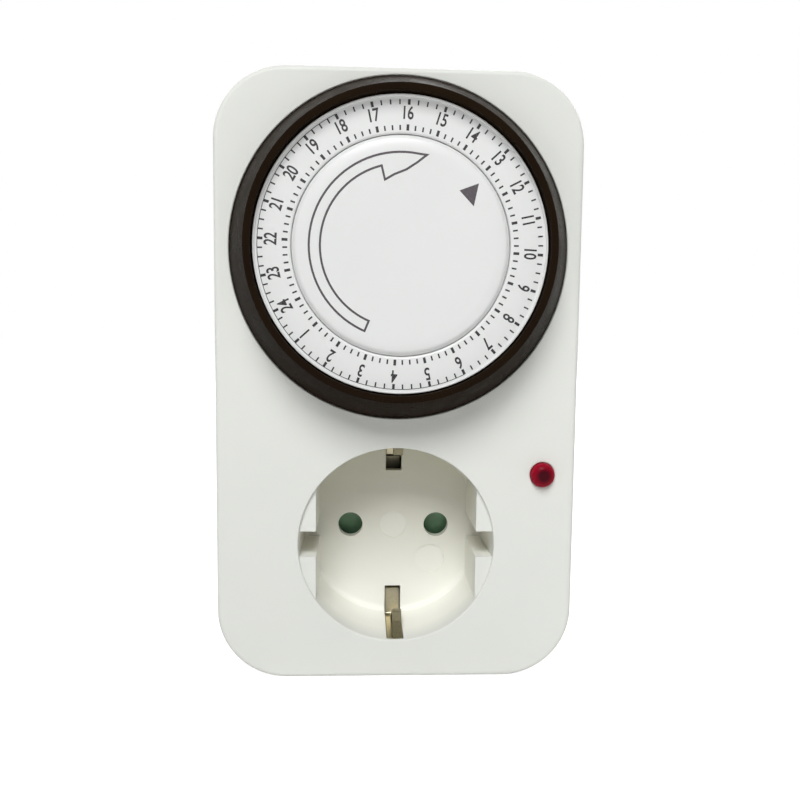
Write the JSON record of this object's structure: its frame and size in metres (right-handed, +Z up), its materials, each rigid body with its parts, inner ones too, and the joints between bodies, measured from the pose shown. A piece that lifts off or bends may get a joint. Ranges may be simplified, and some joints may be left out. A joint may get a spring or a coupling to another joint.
{
  "type": "plug-in timer switch",
  "caption": "Plug-in mechanical timer switch: wall plug and shuttered pass-through socket in one housing, with a turning dial of push-in tappets, follower switch, motor gear train and lamp.",
  "frame": {"origin": "midway between the two plug pins, on the end face of the plug boss", "axes": "+Y along the plug pins into the wall, +Z up from the socket to the dial, +X to the right as seen by the user"},
  "size_m": [0.0731, 0.0814, 0.121],
  "materials": {
    "housing_plastic": "moulded, fine satin",
    "dial_plastic": "moulded, satin, printed",
    "tappet_plastic": "moulded, gloss",
    "shutter_plastic": "moulded, satin",
    "frame_plastic": "moulded, satin",
    "gear_plastic": "moulded acetal, satin",
    "lever_plastic": "moulded, satin",
    "lens_plastic": "moulded, clear red",
    "nickel": "nickel plated, satin",
    "contact_brass": "stamped, bare",
    "steel": "zinc plated",
    "copper_wire": "enamelled winding",
    "bobbin_plastic": "moulded",
    "lamp_glass": "clear glass with dark electrodes",
    "resistor_body": "lacquered",
    "ferrite": "pressed ferrite on a steel shaft"
  },
  "bodies": {
    "housing": {"front_housing": "housing_plastic", "rear_housing": "housing_plastic", "housing_screws": "steel", "plug_pin_live": "nickel", "plug_pin_neutral": "nickel", "neutral_contact": "contact_brass", "live_contact": "contact_brass", "live_feed": "contact_brass", "switch_base": "frame_plastic", "earth_bracket": "nickel", "shutter_tray": "frame_plastic", "shutter_spring": "steel", "indicator_lens": "lens_plastic", "neon_lamp": "lamp_glass", "neon_resistor": "resistor_body", "movement_front_plate": "frame_plastic", "movement_back_plate": "frame_plastic", "gear_arbors": "steel", "motor_can": "steel", "motor_bobbin": "bobbin_plastic", "motor_coil": "copper_wire", "centre_disc": "dial_plastic", "lever_pin": "steel"},
    "dial": {"dial_drum": "dial_plastic"},
    "rotor": {"rotor": "ferrite"},
    "first_wheel": {"first_wheel": "gear_plastic"},
    "second_wheel": {"second_wheel": "gear_plastic"},
    "third_wheel": {"third_wheel": "gear_plastic"},
    "clutch_wheel": {"clutch_wheel": "gear_plastic"},
    "output_shaft": {"output_pinion": "gear_plastic", "clutch_spring": "steel"},
    "follower": {"follower_lever": "lever_plastic"},
    "blade": {"switch_blade": "contact_brass"},
    "override": {"override_slide": "tappet_plastic"},
    "shutter": {"shutter": "shutter_plastic"},
    "tappets_01": {"tappets_hour_01": "tappet_plastic"},
    "tappets_02": {"tappets_hour_02": "tappet_plastic"},
    "tappets_03": {"tappets_hour_03": "tappet_plastic"},
    "tappets_04": {"tappets_hour_04": "tappet_plastic"},
    "tappets_05": {"tappets_hour_05": "tappet_plastic"},
    "tappets_06": {"tappets_hour_06": "tappet_plastic"},
    "tappets_07": {"tappets_hour_07": "tappet_plastic"},
    "tappets_08": {"tappets_hour_08": "tappet_plastic"},
    "tappets_09": {"tappets_hour_09": "tappet_plastic"},
    "tappets_10": {"tappets_hour_10": "tappet_plastic"},
    "tappets_11": {"tappets_hour_11": "tappet_plastic"},
    "tappets_12": {"tappets_hour_12": "tappet_plastic"},
    "tappets_13": {"tappets_hour_13": "tappet_plastic"},
    "tappets_14": {"tappets_hour_14": "tappet_plastic"},
    "tappets_15": {"tappets_hour_15": "tappet_plastic"},
    "tappets_16": {"tappets_hour_16": "tappet_plastic"},
    "tappets_17": {"tappets_hour_17": "tappet_plastic"},
    "tappets_18": {"tappets_hour_18": "tappet_plastic"},
    "tappets_19": {"tappets_hour_19": "tappet_plastic"},
    "tappets_20": {"tappets_hour_20": "tappet_plastic"},
    "tappets_21": {"tappets_hour_21": "tappet_plastic"},
    "tappets_22": {"tappets_hour_22": "tappet_plastic"},
    "tappets_23": {"tappets_hour_23": "tappet_plastic"},
    "tappets_24": {"tappets_hour_24": "tappet_plastic"}
  },
  "joints": [
    {"name": "dial_spin", "type": "hinge", "parent": "housing", "child": "dial", "pos_m": [0, -0.05, 0.0588], "axis": [0, 1, 0], "continuous": true},
    {"name": "tappets_01_push", "type": "slide", "parent": "dial", "child": "tappets_01", "axis": [0, 1, 0], "range_m": [0, 0.0032]},
    {"name": "tappets_02_push", "type": "slide", "parent": "dial", "child": "tappets_02", "axis": [0, 1, 0], "range_m": [0, 0.0032]},
    {"name": "tappets_03_push", "type": "slide", "parent": "dial", "child": "tappets_03", "axis": [0, 1, 0], "range_m": [0, 0.0032]},
    {"name": "tappets_04_push", "type": "slide", "parent": "dial", "child": "tappets_04", "axis": [0, 1, 0], "range_m": [0, 0.0032]},
    {"name": "tappets_05_push", "type": "slide", "parent": "dial", "child": "tappets_05", "axis": [0, 1, 0], "range_m": [0, 0.0032]},
    {"name": "tappets_06_push", "type": "slide", "parent": "dial", "child": "tappets_06", "axis": [0, 1, 0], "range_m": [0, 0.0032]},
    {"name": "tappets_07_push", "type": "slide", "parent": "dial", "child": "tappets_07", "axis": [0, 1, 0], "range_m": [0, 0.0032]},
    {"name": "tappets_08_push", "type": "slide", "parent": "dial", "child": "tappets_08", "axis": [0, 1, 0], "range_m": [0, 0.0032]},
    {"name": "tappets_09_push", "type": "slide", "parent": "dial", "child": "tappets_09", "axis": [0, 1, 0], "range_m": [0, 0.0032]},
    {"name": "tappets_10_push", "type": "slide", "parent": "dial", "child": "tappets_10", "axis": [0, 1, 0], "range_m": [0, 0.0032]},
    {"name": "tappets_11_push", "type": "slide", "parent": "dial", "child": "tappets_11", "axis": [0, 1, 0], "range_m": [0, 0.0032]},
    {"name": "tappets_12_push", "type": "slide", "parent": "dial", "child": "tappets_12", "axis": [0, 1, 0], "range_m": [0, 0.0032]},
    {"name": "tappets_13_push", "type": "slide", "parent": "dial", "child": "tappets_13", "axis": [0, 1, 0], "range_m": [0, 0.0032]},
    {"name": "tappets_14_push", "type": "slide", "parent": "dial", "child": "tappets_14", "axis": [0, 1, 0], "range_m": [0, 0.0032]},
    {"name": "tappets_15_push", "type": "slide", "parent": "dial", "child": "tappets_15", "axis": [0, 1, 0], "range_m": [0, 0.0032]},
    {"name": "tappets_16_push", "type": "slide", "parent": "dial", "child": "tappets_16", "axis": [0, 1, 0], "range_m": [0, 0.0032]},
    {"name": "tappets_17_push", "type": "slide", "parent": "dial", "child": "tappets_17", "axis": [0, 1, 0], "range_m": [0, 0.0032]},
    {"name": "tappets_18_push", "type": "slide", "parent": "dial", "child": "tappets_18", "axis": [0, 1, 0], "range_m": [0, 0.0032]},
    {"name": "tappets_19_push", "type": "slide", "parent": "dial", "child": "tappets_19", "axis": [0, 1, 0], "range_m": [0, 0.0032]},
    {"name": "tappets_20_push", "type": "slide", "parent": "dial", "child": "tappets_20", "axis": [0, 1, 0], "range_m": [0, 0.0032]},
    {"name": "tappets_21_push", "type": "slide", "parent": "dial", "child": "tappets_21", "axis": [0, 1, 0], "range_m": [0, 0.0032]},
    {"name": "tappets_22_push", "type": "slide", "parent": "dial", "child": "tappets_22", "axis": [0, 1, 0], "range_m": [0, 0.0032]},
    {"name": "tappets_23_push", "type": "slide", "parent": "dial", "child": "tappets_23", "axis": [0, 1, 0], "range_m": [0, 0.0032]},
    {"name": "tappets_24_push", "type": "slide", "parent": "dial", "child": "tappets_24", "axis": [0, 1, 0], "range_m": [0, 0.0032]},
    {"name": "output_spin", "type": "hinge", "parent": "housing", "child": "output_shaft", "pos_m": [0.02, -0.036, 0.03023], "axis": [0, 1, 0], "continuous": true},
    {"name": "rotor_spin", "type": "hinge", "parent": "housing", "child": "rotor", "pos_m": [0.00016, -0.03, 0.07205], "axis": [0, 1, 0], "continuous": true},
    {"name": "first_wheel_spin", "type": "hinge", "parent": "housing", "child": "first_wheel", "pos_m": [-0.00531, -0.031, 0.05916], "axis": [0, 1, 0], "continuous": true},
    {"name": "second_wheel_spin", "type": "hinge", "parent": "housing", "child": "second_wheel", "pos_m": [0.00459, -0.033, 0.04926], "axis": [0, 1, 0], "continuous": true},
    {"name": "third_wheel_spin", "type": "hinge", "parent": "housing", "child": "third_wheel", "pos_m": [0.01757, -0.033, 0.04402], "axis": [0, 1, 0], "continuous": true},
    {"name": "clutch_wheel_spin", "type": "hinge", "parent": "housing", "child": "clutch_wheel", "pos_m": [0.02, -0.031, 0.03023], "axis": [0, 1, 0], "continuous": true},
    {"name": "follower_tilt", "type": "hinge", "parent": "housing", "child": "follower", "pos_m": [-0.017, -0.0334, 0.0297], "axis": [0, 0, 1], "range_deg": [-10.8, 0]},
    {"name": "blade_tilt", "type": "hinge", "parent": "housing", "child": "blade", "pos_m": [-0.0282, -0.02985, 0.0297], "axis": [0, 0, 1], "range_deg": [-5.4, 0]},
    {"name": "override_move", "type": "slide", "parent": "housing", "child": "override", "axis": [0, 0, 1], "range_m": [0, 0.004]},
    {"name": "shutter_move", "type": "slide", "parent": "housing", "child": "shutter", "axis": [0, 0, -1], "range_m": [0, 0.0062], "stiffness_N_per_m": 40, "springref_m": -0.004, "deforming": ["shutter_spring"]}
  ],
  "couplings": [
    {"joint": "output_spin", "follows": "dial_spin", "ratio": -8},
    {"joint": "first_wheel_spin", "follows": "rotor_spin", "ratio": -0.16667},
    {"joint": "second_wheel_spin", "follows": "rotor_spin", "ratio": 0.027778},
    {"joint": "third_wheel_spin", "follows": "rotor_spin", "ratio": -0.0046296},
    {"joint": "clutch_wheel_spin", "follows": "rotor_spin", "ratio": 0.0007716},
    {"joint": "blade_tilt", "follows": "follower_tilt", "ratio": 0.5}
  ]
}
